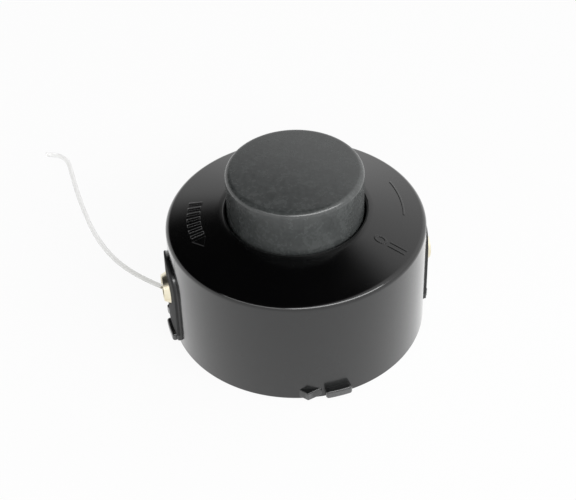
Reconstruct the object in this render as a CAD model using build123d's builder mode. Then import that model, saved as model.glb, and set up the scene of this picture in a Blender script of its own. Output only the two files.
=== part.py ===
"""Bump-feed line cassette of a grass trimmer, in millimetres.

The cup stands on its mouth: the origin is the centre of the mouth, +Z goes up through the press knob.
Angles are in degrees, counter-clockwise seen from above, from +X.
"""

import os
from math import atan2, cos, degrees, pi, radians, sin, tan

from build123d import *

os.makedirs("parts", exist_ok=True)

# Cup: the wall opens a little towards the mouth, and the top is a shallow cone
rim_radius = 40.0
draft = 0.4
wall_height = 37.5
wall = 2.4
mouth_wall = 1.5
crown_rise = 4.0
rim_fillet = 1.9
lip_width = 1.6
lip_fillet = 0.8
guide_wall = 1.6
guide_depth = 5.0

# Press knob
knob_radius = 20.9
knob_top = 56.9
knob_wall = 2.2
knob_crown = 0.7
knob_fillet = 1.7
knob_gap = 0.6

# Line outlets: raised pads with an arched top, each with a brass eyelet
outlet_count = 2
outlet_angle = 191.25
outlet_height = 17.5
pad_half_width = 9.0
pad_proud = 1.2
pad_foot = 2.4
pad_rise = 3.3
eyelet_bore = 3.2
eyelet_wall = 0.5
eyelet_flange = 1.4
eyelet_lip = 1.9
eyelet_roll = 0.9
eyelet_clearance = 0.05
seat_margin = 0.4

# Bayonet lugs and detents round the mouth
lug_count = 4
lug_angle = 285.9
lug_width = 8.5
lug_proud = 2.3
lug_height = 3.2
lug_foot = 0.8
lug_edge = 0.8
detent_angle = 272.8
detent_proud = 1.9
detent_back = 2.6
detent_ramp = 4.4

# Ratchet dogs: one ring locks the reel at rest, the other while the knob is pressed
dog_count = 8
dog_span = 9.0
dog_height = 2.6
dog_engagement = 2.2
dog_inset = 3.0
dog_clearance = 2.1
bump_stroke = 6.0
stop_gap = 0.1

# Bottom cover
cover_recess = 1.2
cover_plate = 2.2
cover_gap = 0.15
rib_count = 6
rib_thickness = 1.4
rib_height = 0.8
tab_count = 4
tab_width = 6.0
tab_height = 1.2
tab_reach = 0.6
tab_angle = 45.0
post_radius = 8.1
post_top = 35.0
post_chamfer = 1.0
shaft_radius = 4.0
shaft_depth = 26.0
hub_radius = 9.6

# Reel, washer and spring
flange_gap = 1.6
flange = 1.8
drum_wall = 1.8
web = 2.0
sleeve_wall = 1.6
sleeve_length = 8.0
running_gap = 0.08
collar_height = 6.0
collar_gap = 0.1
collar_wall = 1.4
nib_count = 4
nib_span = 16.0
nib_reach = 0.6
nib_height = 1.6
spring_length = 20.6
spring_radius = 12.6
spring_wire = 1.5
spring_turns = 3.0
washer_thickness = 1.0
washer_overlap = 2.2
washer_gap = 0.05

# Nylon line: what is wound on the reel, and the free end, laid out from the left eyelet's seat
line_diameter = 1.5
winding_layers = 4
winding_gap = 0.1
line_drop = 1.0
line_leave_angle = 242.1
line_leave_gap = 0.45
line_route = [
    (10.8, -6.4),
    (-12.8, 7.6),
    (-24.7, 24.2),
    (-32.1, 44.5),
    (-36.2, 58.7),
    (-38.2, 66.2),
    (-40.6, 69.5),
    (-43.8, 71.2),
    (-46.8, 71.3),
]

# Levels and radii that follow from the sizes above
hole_radius = knob_radius + knob_gap
lip_radius = hole_radius + lip_width
lip_top = wall_height + crown_rise
cone_slope = crown_rise / (rim_radius - lip_radius)
roof = wall / cos(atan2(crown_rise, rim_radius - lip_radius))
mouth_radius = rim_radius + draft
mouth_bore = mouth_radius - mouth_wall
cover_top = cover_recess + cover_plate
dog_tip_gap = dog_height - dog_engagement
dog_pitch = 360 / dog_count
flange_radius = rim_radius - wall - flange_gap
dog_inner = hole_radius + guide_wall + dog_clearance
dog_outer = flange_radius - dog_inset
knob_bore = knob_radius - knob_wall
collar_radius = knob_bore - collar_gap
drum_bore = collar_radius - collar_wall
drum_radius = drum_bore + drum_wall


def outside_radius(z):
    """Outer radius of the cup's wall at a height."""
    return mouth_radius + (rim_radius - mouth_radius) * z / wall_height


def ceiling(radius):
    """Height of the underside of the cup's top at a radius."""
    return wall_height + cone_slope * (rim_radius - radius) - roof


def radial_plane(angle):
    """Upright plane through the axis: its x runs outwards at an angle, its y runs up."""
    a = radians(angle)
    return Plane(origin=(0, 0, 0), x_dir=(cos(a), sin(a), 0), z_dir=(sin(a), -cos(a), 0))


def outlet_plane(angle):
    """Plane across an outlet's axis: its origin is on the cup's axis, its y runs up, its z points out."""
    a = radians(angle)
    return Plane(origin=(0, 0, outlet_height), x_dir=(-sin(a), cos(a), 0), z_dir=(cos(a), sin(a), 0))


def polar(radius, angle):
    """Point at a radius and an angle."""
    return radius * cos(radians(angle)), radius * sin(radians(angle))


def section_face(plane, *points):
    """Closed face with straight sides on a plane, for turning or extruding."""
    with BuildSketch(plane) as face:
        with BuildLine():
            Polyline(*points, close=True)
        make_face()
    return face.sketch


def block(inner, outer, low, high):
    """Section of a ring: its four (radius, height) corners."""
    return (inner, low), (outer, low), (outer, high), (inner, high)


def ring_faces(count, first, span, *section):
    """Copies of a section round the axis, each half a span before its angle, for turning through the span."""
    starts = [first + 360 * k / count - span / 2 for k in range(count)]
    return [section_face(radial_plane(start), *section) for start in starts]


# Reel levels, from the cover up and from the cup's ceiling down
reel_dog_low = cover_top + dog_tip_gap + bump_stroke
low_flange_under = reel_dog_low + dog_height
low_flange_top = low_flange_under + flange
reel_dog_high = ceiling(dog_outer) - dog_tip_gap
high_flange_top = reel_dog_high - dog_height
high_flange_under = high_flange_top - flange
washer_under = cover_top + spring_length
web_under = washer_under + washer_thickness + washer_gap
winding_radius = drum_radius + winding_layers * line_diameter

# Eyelet seats: each pad is spot-faced outside and pocketed inside, so that the wall between is even
outlet_angles = [outlet_angle + 360 * k / outlet_count for k in range(outlet_count)]
eyelet_barrel = eyelet_bore + eyelet_wall
eyelet_radius = eyelet_barrel + eyelet_flange
seat_radius = eyelet_radius + seat_margin
seat_face = ((outside_radius(outlet_height) + pad_proud) ** 2 - seat_radius**2) ** 0.5
pocket_face = seat_face - wall

# Pads of the outlets: arched blocks trimmed to the cup's own taper
with BuildPart() as outlet_pads:
    for angle in outlet_angles:
        with BuildSketch(outlet_plane(angle).offset(pocket_face)):
            with Locations((0, pad_rise)):
                Circle(pad_half_width)
            with Locations((0, (pad_foot + pad_rise - outlet_height) / 2)):
                Rectangle(2 * pad_half_width, outlet_height + pad_rise - pad_foot)
        extrude(amount=wall + pad_proud)
    trim = section_face(
        Plane.XZ,
        (mouth_bore, 0),
        (mouth_radius + pad_proud, 0),
        (rim_radius + pad_proud, wall_height),
        (mouth_bore, wall_height),
    )
    revolve(trim, axis=Axis.Z, mode=Mode.INTERSECT)

# Cup
tab_level = cover_recess + cover_plate / 2
lug_root = mouth_radius - mouth_wall / 2
lug_outside = outside_radius(lug_foot) + lug_proud
lug_top = lug_foot + lug_height
lug_span = degrees(lug_width / lug_outside)
tab_span = degrees(tab_width / mouth_bore)
slot_span = degrees((tab_width + 2 * cover_gap) / mouth_bore)
with BuildPart() as spool_housing:
    with BuildSketch(Plane.XZ) as cup_section:
        with BuildLine():
            Polyline(
                (mouth_radius, 0),
                (rim_radius, wall_height),
                (lip_radius, lip_top),
                (hole_radius, lip_top),
                (hole_radius, lip_top - guide_depth),
                (hole_radius + guide_wall, lip_top - guide_depth),
                (hole_radius + guide_wall, ceiling(hole_radius + guide_wall)),
                (rim_radius - wall, ceiling(rim_radius - wall)),
                (outside_radius(cover_top) - wall, cover_top),
                (mouth_bore, cover_top),
                (mouth_bore, 0),
                close=True,
            )
        make_face()
        fillet(cup_section.vertices().sort_by_distance((rim_radius, wall_height))[0], rim_fillet)
        fillet(cup_section.vertices().sort_by_distance((hole_radius, lip_top))[0], lip_fillet)
    revolve(axis=Axis.Z)
    add(outlet_pads.part)
    # Outlets: pocket inside, bore, and spot face outside
    for angle in outlet_angles:
        with BuildSketch(outlet_plane(angle).offset(pocket_face)):
            Circle(seat_radius)
        extrude(amount=-2 * wall, mode=Mode.SUBTRACT)
        with BuildSketch(outlet_plane(angle).offset(pocket_face)):
            Circle(eyelet_barrel + eyelet_clearance)
        extrude(amount=2 * wall, mode=Mode.SUBTRACT)
        with BuildSketch(outlet_plane(angle).offset(seat_face)):
            Circle(seat_radius)
        extrude(amount=pad_proud, mode=Mode.SUBTRACT)
    # Bayonet lugs with broken edges
    lug_faces = ring_faces(
        lug_count,
        lug_angle,
        lug_span,
        (lug_root, lug_foot),
        (lug_outside - lug_edge, lug_foot),
        (lug_outside, lug_foot + lug_edge),
        (lug_outside, lug_top - lug_edge),
        (lug_outside - lug_edge, lug_top),
        (lug_root, lug_top),
    )
    revolve(lug_faces, axis=Axis.Z, revolution_arc=lug_span)
    # Detents: a ramp up to a crest with a steep back
    for k in range(lug_count):
        crest = detent_angle + 360 * k / lug_count
        back = crest - degrees(detent_back / mouth_radius)
        ramp = crest + degrees(detent_ramp / mouth_radius)
        detent_face = section_face(
            Plane.XY.offset(lug_foot),
            polar(lug_root, back),
            polar(outside_radius(lug_foot), back),
            polar(outside_radius(lug_foot) + detent_proud, crest),
            polar(outside_radius(lug_foot), ramp),
            polar(lug_root, ramp),
        )
        extrude(detent_face, amount=lug_height)
    # Ratchet dogs under the top: they stop the reel from turning at rest, and their ends are its upper stop
    dog_faces = ring_faces(
        dog_count,
        0,
        dog_span,
        (dog_inner, high_flange_top + stop_gap),
        (dog_outer, high_flange_top + stop_gap),
        (dog_outer, ceiling(dog_outer) + roof / 2),
        (dog_inner, ceiling(dog_inner) + roof / 2),
    )
    revolve(dog_faces, axis=Axis.Z, revolution_arc=dog_span)
    # Slots inside the mouth for the cover's snap tabs
    slot_half = tab_height / 2 + cover_gap
    slot_depth = mouth_bore + tab_reach + cover_gap
    slot = block(mouth_bore - cover_gap, slot_depth, tab_level - slot_half, tab_level + slot_half)
    slot_faces = ring_faces(tab_count, tab_angle, slot_span, *slot)
    revolve(slot_faces, axis=Axis.Z, revolution_arc=slot_span, mode=Mode.SUBTRACT)
spool_housing.part.label = "spool_housing"
export_step(spool_housing.part, "parts/spool_housing.step")

# Bottom cover: plate with snap tabs, post for the reel, blind bore for the machine's shaft
cover_radius = mouth_bore - cover_gap
hub_foot = cover_recess - rib_height
with BuildPart() as bottom_cover:
    plate_and_post = section_face(
        Plane.XZ,
        (shaft_radius, hub_foot),
        (hub_radius, hub_foot),
        (hub_radius, cover_recess),
        (cover_radius, cover_recess),
        (cover_radius, cover_top),
        (post_radius, cover_top),
        (post_radius, post_top - post_chamfer),
        (post_radius - post_chamfer, post_top),
        (0, post_top),
        (0, hub_foot + shaft_depth),
        (shaft_radius, hub_foot + shaft_depth),
    )
    revolve(plate_and_post, axis=Axis.Z)
    # Ribs below the plate, from the hub to just inside its edge
    with BuildSketch(Plane.XY.offset(hub_foot)):
        with PolarLocations((hub_radius + cover_radius - rib_thickness) / 2, rib_count):
            Rectangle(cover_radius - hub_radius, rib_thickness)
    extrude(amount=rib_height + cover_plate / 2)
    # Dogs that catch the reel while the knob is pressed
    catch = block(dog_inner, dog_outer, tab_level, cover_top + dog_height)
    revolve(ring_faces(dog_count, 0, dog_span, *catch), axis=Axis.Z, revolution_arc=dog_span)
    # Snap tabs that hold the cover in the slots of the mouth
    tab_low = tab_level - tab_height / 2
    tab = block(cover_radius - wall, mouth_bore + tab_reach, tab_low, tab_low + tab_height)
    revolve(ring_faces(tab_count, tab_angle, tab_span, *tab), axis=Axis.Z, revolution_arc=tab_span)
bottom_cover.part.label = "bottom_cover"
export_step(bottom_cover.part, "parts/bottom_cover.step")

# Reel: two flanges on a drum, a web with a sleeve on the post, and a collar for the knob
sleeve_bore = post_radius + running_gap
nib_level = high_flange_top + collar_height / 2
with BuildPart() as spool:
    reel_section = section_face(
        Plane.XZ,
        (sleeve_bore, web_under),
        (drum_bore, web_under),
        (drum_bore, low_flange_under),
        (flange_radius, low_flange_under),
        (flange_radius, low_flange_top),
        (drum_radius, low_flange_top),
        (drum_radius, high_flange_under),
        (flange_radius, high_flange_under),
        (flange_radius, high_flange_top),
        (collar_radius, high_flange_top),
        (collar_radius, high_flange_top + collar_height),
        (drum_bore, high_flange_top + collar_height),
        (drum_bore, web_under + web),
        (sleeve_bore + sleeve_wall, web_under + web),
        (sleeve_bore + sleeve_wall, web_under + sleeve_length),
        (sleeve_bore, web_under + sleeve_length),
    )
    revolve(reel_section, axis=Axis.Z)
    # Upper dogs stand midway between those of the cup at rest
    upper = block(dog_inner, dog_outer, high_flange_top - flange / 2, reel_dog_high)
    revolve(ring_faces(dog_count, dog_pitch / 2, dog_span, *upper), axis=Axis.Z, revolution_arc=dog_span)
    # Lower dogs come midway between those of the cover once the reel has fed half a pitch
    lower = block(dog_inner, dog_outer, reel_dog_low, low_flange_under + flange / 2)
    revolve(ring_faces(dog_count, 0, dog_span, *lower), axis=Axis.Z, revolution_arc=dog_span)
    # Windows in the collar for the knob's nibs
    window_half = nib_height / 2 + collar_gap
    window = block(drum_bore - collar_gap, knob_bore, nib_level - window_half, nib_level + window_half)
    window_span = nib_span + degrees(2 * collar_gap / collar_radius)
    window_faces = ring_faces(nib_count, 0, window_span, *window)
    revolve(window_faces, axis=Axis.Z, revolution_arc=window_span, mode=Mode.SUBTRACT)
spool.part.label = "spool"
export_step(spool.part, "parts/spool.step")

# Winding: the line of both outlets as one solid, with a ridge for each pair of turns in its outer layer
winding_bottom = low_flange_top + winding_gap
winding_top = high_flange_under - winding_gap
pair_count = int((winding_top - winding_bottom) / (outlet_count * line_diameter))
pair_pitch = (winding_top - winding_bottom) / pair_count
ridge = line_diameter / 4
winding_section = [(drum_radius, winding_bottom)]
for k in range(pair_count):
    winding_section.append((winding_radius - ridge, winding_bottom + k * pair_pitch))
    winding_section.append((winding_radius, winding_bottom + (k + 0.5) * pair_pitch))
winding_section.append((winding_radius - ridge, winding_top))
winding_section.append((drum_radius, winding_top))
with BuildPart() as line_winding:
    revolve(section_face(Plane.XZ, *winding_section), axis=Axis.Z)
line_winding.part.label = "line_winding"
export_step(line_winding.part, "parts/line_winding.step")

# Press knob: a hollow cap with a slightly domed top, held on the reel's collar by its nibs
knob_edge = knob_top - knob_crown
dome_radius = (knob_radius**2 + knob_crown**2) / (2 * knob_crown)
dome_middle = knob_top - dome_radius + (dome_radius**2 - knob_radius**2 / 4) ** 0.5
with BuildPart() as bump_knob:
    with BuildSketch(Plane.XZ) as knob_section:
        with BuildLine():
            Polyline(
                (0, knob_edge - knob_wall),
                (knob_bore, knob_edge - knob_wall),
                (knob_bore, high_flange_top),
                (knob_radius, high_flange_top),
                (knob_radius, knob_edge),
            )
            ThreePointArc((knob_radius, knob_edge), (knob_radius / 2, dome_middle), (0, knob_top))
            Line((0, knob_top), (0, knob_edge - knob_wall))
        make_face()
        fillet(knob_section.vertices().sort_by_distance((knob_radius, knob_edge))[0], knob_fillet)
    revolve(axis=Axis.Z)
    nib_low = nib_level - nib_height / 2
    nib = block(collar_radius - nib_reach, knob_radius - knob_wall / 2, nib_low, nib_low + nib_height)
    revolve(ring_faces(nib_count, 0, nib_span, *nib), axis=Axis.Z, revolution_arc=nib_span)
bump_knob.part.label = "bump_knob"
export_step(bump_knob.part, "parts/bump_knob.step")

# Thrust washer between the spring and the reel's web
with BuildPart() as thrust_washer:
    with BuildSketch(Plane.XY.offset(washer_under)):
        Circle(spring_radius + washer_overlap)
        Circle(spring_radius - washer_overlap, mode=Mode.SUBTRACT)
    extrude(amount=washer_thickness)
thrust_washer.part.label = "thrust_washer"
export_step(thrust_washer.part, "parts/thrust_washer.step")

# Compression spring on the cover, round the post
coil_height = spring_length - spring_wire
with BuildPart() as compression_spring:
    with BuildLine(Plane.XY.offset(cover_top + spring_wire / 2)):
        coil = Helix(coil_height / spring_turns, coil_height, spring_radius)
    with BuildSketch(Plane(origin=coil @ 0, z_dir=coil % 0)):
        RegularPolygon(spring_wire / 2, 6)
    sweep(is_frenet=True)
compression_spring.part.label = "compression_spring"
export_step(compression_spring.part, "parts/compression_spring.step")

# Brass eyelets: a barrel with a flange outside, flared at both ends for the line
for angle, side in zip(outlet_angles, ("left", "right")):
    along = outlet_plane(angle)
    section_plane = Plane(origin=along.origin, x_dir=along.x_dir, z_dir=-along.y_dir)
    with BuildPart() as eyelet:
        with BuildSketch(section_plane):
            with BuildLine():
                Polyline(
                    (eyelet_barrel, pocket_face - eyelet_roll / 2),
                    (eyelet_bore, pocket_face + eyelet_roll),
                    (eyelet_bore, seat_face),
                    (eyelet_barrel, seat_face + eyelet_lip),
                    (eyelet_radius - eyelet_lip / 2, seat_face + eyelet_lip),
                    (eyelet_radius, seat_face),
                    (eyelet_barrel, seat_face),
                    (eyelet_barrel, pocket_face),
                    (eyelet_radius - eyelet_wall, pocket_face - eyelet_roll / 2),
                    close=True,
                )
            make_face()
        revolve(axis=Axis(along.origin, along.z_dir))
    eyelet.part.label = f"outlet_eyelet_{side}"
    export_step(eyelet.part, f"parts/outlet_eyelet_{side}.step")

# Free end of the line: from the winding through the left eyelet to its cut tip
line_height = outlet_height - line_drop
seat_x, seat_y = polar(seat_face, outlet_angle)
leave_x, leave_y = polar(winding_radius + line_diameter / 2 + line_leave_gap, line_leave_angle)
route = [Vector(leave_x, leave_y, line_height)]
route += [Vector(seat_x + dx, seat_y + dy, line_height) for dx, dy in line_route]
bend_radii = []
for before, corner, after in zip(route, route[1:], route[2:]):
    run = min((corner - before).length, (after - corner).length)
    turn = (corner - before).get_angle(after - corner)
    bend_radii.append(0.45 * run / tan(radians(turn / 2)))
print("bend radii of the line:", [round(r, 1) for r in bend_radii])
with BuildPart() as cutting_line:
    with BuildLine() as line_path:
        FilletPolyline(*route, radius=bend_radii)
    with BuildSketch(Plane(origin=line_path.wire() @ 0, z_dir=line_path.wire() % 0)):
        Circle(line_diameter / 2)
    sweep(path=line_path.wire())
line_length = line_path.wire().length
section_area = pi * line_diameter**2 / 4
volume_ratio = cutting_line.part.volume / (line_length * section_area)
print("line length", round(line_length, 1), "volume ratio", round(volume_ratio, 4))
cutting_line.part.label = "cutting_line"
export_step(cutting_line.part, "parts/cutting_line.step")
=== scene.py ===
"""Looks of a bump-feed trimmer head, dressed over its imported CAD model.

Sizes of the pieces are in millimetres and their meshes end in metres, in the CAD model's own frame:
the origin is the centre of the cup's mouth, +Z goes up through the press knob, -Y faces the viewer.
"""

import logging
import math
from collections.abc import Callable, Iterable, Mapping, Sequence
from dataclasses import dataclass
from enum import Enum
from typing import Any, Optional, Union

import bmesh
import bpy
from mathutils import Matrix, Vector


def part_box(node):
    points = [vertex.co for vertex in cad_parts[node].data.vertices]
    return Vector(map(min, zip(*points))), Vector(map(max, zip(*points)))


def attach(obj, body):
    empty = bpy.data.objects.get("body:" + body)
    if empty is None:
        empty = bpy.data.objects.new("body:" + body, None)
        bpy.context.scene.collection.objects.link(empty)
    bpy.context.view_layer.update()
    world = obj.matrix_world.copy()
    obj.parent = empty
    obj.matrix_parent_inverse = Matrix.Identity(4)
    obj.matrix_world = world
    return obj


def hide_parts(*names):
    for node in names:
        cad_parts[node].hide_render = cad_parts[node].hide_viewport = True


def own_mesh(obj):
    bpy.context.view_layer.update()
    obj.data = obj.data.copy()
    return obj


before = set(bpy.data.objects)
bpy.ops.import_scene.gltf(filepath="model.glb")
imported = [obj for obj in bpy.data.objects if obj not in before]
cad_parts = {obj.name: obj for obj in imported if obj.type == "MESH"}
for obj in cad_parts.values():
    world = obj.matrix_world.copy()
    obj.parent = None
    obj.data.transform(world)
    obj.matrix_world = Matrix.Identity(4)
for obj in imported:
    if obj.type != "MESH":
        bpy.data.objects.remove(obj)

LOG = logging.getLogger("trimmer_head")
MM = 0.001

# Tolerances of the mesh work, in millimetres
NEAR = 1e-3
JOIN_DISTANCE = 1e-4
CUT_DISTANCE = 1e-5

# Shading: edges that turn by more degrees stay sharp, and large faces weigh more than small ones
SHARP_ANGLE = 35.0
EVEN_WEIGHT = 80

Point2 = tuple[float, float]
Point3 = tuple[float, float, float]
Colour = tuple[float, float, float]
Number = Union["Value", float]


class Body(Enum):
    """Bodies of the CAD model that a piece can ride on."""

    HOUSING = "housing"
    WASHER = "washer"
    REEL = "reel"


class Slot(Enum):
    """Material slots of the record."""

    HOUSING = "housing_plastic"
    KNOB = "knob_plastic"
    REEL = "reel_plastic"
    LINE = "nylon_line"
    EYELET = "eyelet_brass"
    STEEL = "spring_steel"


@dataclass(frozen=True)
class Pattern:
    """Noise: grain size in millimetres, levels of finer noise, and the values that turn into 0 and 1."""

    grain: float
    detail: float
    limits: Optional[Point2] = None
    stretch: Point3 = (1, 1, 1)


@dataclass(frozen=True)
class Relief:
    """Bump: depth in millimetres and the share of it that shows."""

    depth: float
    strength: float


class Value:
    """A number on a node's socket, with arithmetic that adds Math nodes."""

    def __init__(self, graph: "Graph", socket: bpy.types.NodeSocket) -> None:
        """Keeps the graph that new nodes go to and the socket that holds the number."""
        self.graph = graph
        self.socket = socket

    def _math(self, operation: str, first: Number, second: Number) -> "Value":
        """Adds one Math node and returns its result."""
        return self.graph.node("ShaderNodeMath", {"operation": operation}, {0: first, 1: second})

    def __add__(self, other: Number) -> "Value":
        """Sum."""
        return self._math("ADD", self, other)

    def __sub__(self, other: Number) -> "Value":
        """Difference."""
        return self._math("SUBTRACT", self, other)

    def __mul__(self, other: Number) -> "Value":
        """Product."""
        return self._math("MULTIPLY", self, other)

    def __rsub__(self, other: float) -> "Value":
        """Difference from a plain number."""
        return self._math("SUBTRACT", other, self)

    __radd__ = __add__
    __rmul__ = __mul__

    def at_least(self, other: Number) -> "Value":
        """The larger of two values."""
        return self._math("MAXIMUM", self, other)

    def between(self, low: float, high: float) -> "Value":
        """A smooth step from 0 at low to 1 at high."""
        sockets = {"Value": self, "From Min": low, "From Max": high}
        return self.graph.node("ShaderNodeMapRange", {"interpolation_type": "SMOOTHSTEP"}, sockets)

    def past(self, low: float, high: float) -> "Value":
        """The same step on a length in metres, with both ends given in millimetres."""
        return self.between(low * MM, high * MM)


class Graph:
    """A node tree in the making."""

    def __init__(self, owner: Union[bpy.types.Material, bpy.types.World]) -> None:
        """Starts an empty node tree.

        Args:
            owner: The material or the world that the tree belongs to.
        """
        owner.use_nodes = True
        self.tree = owner.node_tree
        self.tree.nodes.clear()

    def node(
        self,
        kind: str,
        settings: Optional[Mapping[str, Any]] = None,
        sockets: Optional[Mapping[Union[str, int], Any]] = None,
        output: Union[str, int] = 0,
    ) -> Value:
        """Adds a node.

        Args:
            kind: The node's type name.
            settings: Properties of the node, set before its sockets.
            sockets: Values or links for its inputs, by name or place.
            output: The output that the result stands for, by name or place.

        Returns:
            The chosen output, or the first input of a node without outputs.
        """
        made = self.tree.nodes.new(kind)
        for name, setting in (settings or {}).items():
            setattr(made, name, setting)
        for key, given in (sockets or {}).items():
            if isinstance(given, Value):
                self.tree.links.new(given.socket, made.inputs[key])
            else:
                made.inputs[key].default_value = given
        return Value(self, made.outputs[output] if made.outputs else made.inputs[0])

    def coordinates(self) -> Value:
        """Place on the piece, in metres of the CAD frame."""
        return self.node("ShaderNodeTexCoord", output="Object")

    def height(self) -> Value:
        """Height above the mouth's plane, in metres."""
        return self.node("ShaderNodeSeparateXYZ", {}, {"Vector": self.coordinates()}, output="Z")

    def depth(self) -> Value:
        """Place from the front to the back, in metres."""
        return self.node("ShaderNodeSeparateXYZ", {}, {"Vector": self.coordinates()}, output="Y")

    def radius(self) -> Value:
        """Measures from the cup's axis.

        Returns:
            The distance, in metres.
        """
        sockets = {0: self.coordinates(), 1: (1, 1, 0)}
        flat = self.node("ShaderNodeVectorMath", {"operation": "MULTIPLY"}, sockets)
        return self.node("ShaderNodeVectorMath", {"operation": "LENGTH"}, {0: flat}, output="Value")

    def noise(self, pattern: Pattern) -> Value:
        """Adds a noise pattern.

        Args:
            pattern: Its grain, detail, limits and how many times finer it is along each axis.

        Returns:
            The noise, from 0 to 1.
        """
        place = {"Vector": self.coordinates(), "Scale": pattern.stretch}
        sockets = {
            "Vector": self.node("ShaderNodeMapping", {}, place),
            "Scale": 1 / (pattern.grain * MM),
            "Detail": pattern.detail,
        }
        noise = self.node("ShaderNodeTexNoise", {}, sockets)
        return noise.between(*pattern.limits) if pattern.limits else noise

    def mix(self, factor: Value, low: Union[Value, Colour], high: Colour) -> Value:
        """Colour between two others.

        Args:
            factor: 0 gives the first colour, 1 the second.
            low: First colour, plain or already mixed.
            high: Second colour.

        Returns:
            The mixed colour.
        """
        sockets = {0: factor, 6: low if isinstance(low, Value) else (*low, 1), 7: (*high, 1)}
        return self.node("ShaderNodeMix", {"data_type": "RGBA"}, sockets, output=2)

    def bump(self, height: Value, relief: Relief) -> Value:
        """Surface normal of a height field.

        Args:
            height: Height, from 0 to 1.
            relief: Depth and strength of the bump.

        Returns:
            The normal.
        """
        sockets = {"Strength": relief.strength, "Distance": relief.depth * MM, "Height": height}
        return self.node("ShaderNodeBump", {}, sockets)

    def surface(self, sockets: Mapping[str, Any]) -> None:
        """Ends a material in a Principled shader with the given inputs."""
        shader = self.node("ShaderNodeBsdfPrincipled", {}, sockets)
        self.node("ShaderNodeOutputMaterial", {}, {"Surface": shader})


class Finish:
    """A surface finish. Each kind says which inputs its Principled shader gets."""

    def sockets(self, graph: Graph) -> dict[str, Any]:
        """Inputs of the shader, as values or links by their names."""
        raise NotImplementedError

    def material(self, name: str) -> bpy.types.Material:
        """Makes the finish.

        Args:
            name: Name of the material.

        Returns:
            The material.
        """
        made = bpy.data.materials.new(name)
        graph = Graph(made)
        graph.surface(self.sockets(graph))
        return made


@dataclass(frozen=True)
class BlackMoulding(Finish):
    """Black moulding with a satin wall and a polished top under a thin wax film; the top's darker colour is
    painted shade.

    The outlet pads, which stand out of the wall above the lugs, have an eroded, dull face. The outer faces
    of the lugs
    and detents are painted paler: painted light where the lamps fall on them.
    """

    satin: Colour = (0.0105, 0.0109, 0.0111)
    # Colour of the polished top, darkened by painted shade
    polished_painted_shade: Colour = (0.0012, 0.0012, 0.0013)
    eroded: Colour = (0.020, 0.0205, 0.0208)
    # Paler colour of the lugs' and detents' outer faces: painted light
    rubbed_and_painted_light: Colour = (0.066, 0.067, 0.068)
    satin_roughness: float = 0.22
    polished_roughness: float = 0.16
    eroded_roughness: float = 0.65
    polish_from: float = 36.2
    polish_to: float = 37.4
    pad_radius: float = 40.7
    pad_foot: float = 4.4
    pad_blur: float = 0.2
    painted_light_from: float = 41.4
    painted_light_to: float = 42.1
    painted_light_full: float = 3.2
    painted_light_end: float = 3.8
    specular: float = 0.35
    film_index: float = 1.35
    film_roughness: float = 0.12
    cloud: Pattern = Pattern(14.0, 3.0, (0.35, 0.75))
    grain: Pattern = Pattern(0.35, 2.0)
    speck: Pattern = Pattern(0.6, 2.0, (0.68, 0.76))
    wave: Pattern = Pattern(6.0, 1.0)
    uneven: float = 0.05
    wave_share: float = 0.8
    grain_share: float = 0.2
    grain_lost: float = 0.15
    relief: Relief = Relief(0.03, 0.5)

    def sockets(self, graph: Graph) -> dict[str, Any]:
        """Lays out the zones of the moulding.

        Args:
            graph: Node tree of the material.

        Returns:
            Inputs of the shader.
        """
        polish_and_painted_shade = graph.height().past(self.polish_from, self.polish_to)
        outside = graph.radius().past(self.pad_radius - self.pad_blur, self.pad_radius + self.pad_blur)
        above = graph.height().past(self.pad_foot - self.pad_blur, self.pad_foot + self.pad_blur)
        pad = outside * above
        # Outer faces of the lugs and detents low on the wall: painted light
        under = 1.0 - graph.height().past(self.painted_light_full, self.painted_light_end)
        painted_light = graph.radius().past(self.painted_light_from, self.painted_light_to) * under
        speck = graph.noise(self.speck)
        roughness = self.satin_roughness + (self.polished_roughness - self.satin_roughness) * polish_and_painted_shade
        roughness = roughness + (self.eroded_roughness - self.satin_roughness) * pad
        # The top's darker colour is painted shade; its lower roughness and wax film are its own
        moulded = graph.mix(polish_and_painted_shade - speck * self.uneven, self.satin, self.polished_painted_shade)
        grain = graph.noise(self.grain) * (self.grain_share - self.grain_lost * polish_and_painted_shade)
        return {
            "Base Color": graph.mix(painted_light, graph.mix(pad, moulded, self.eroded), self.rubbed_and_painted_light),
            "Roughness": roughness + graph.noise(self.cloud) * self.uneven + speck * self.uneven,
            "Specular IOR Level": self.specular,
            "Coat Weight": 1.0 - pad,
            "Coat IOR": self.film_index,
            "Coat Roughness": self.film_roughness,
            "Normal": graph.bump(graph.noise(self.wave) * self.wave_share + grain, self.relief),
        }


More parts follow.
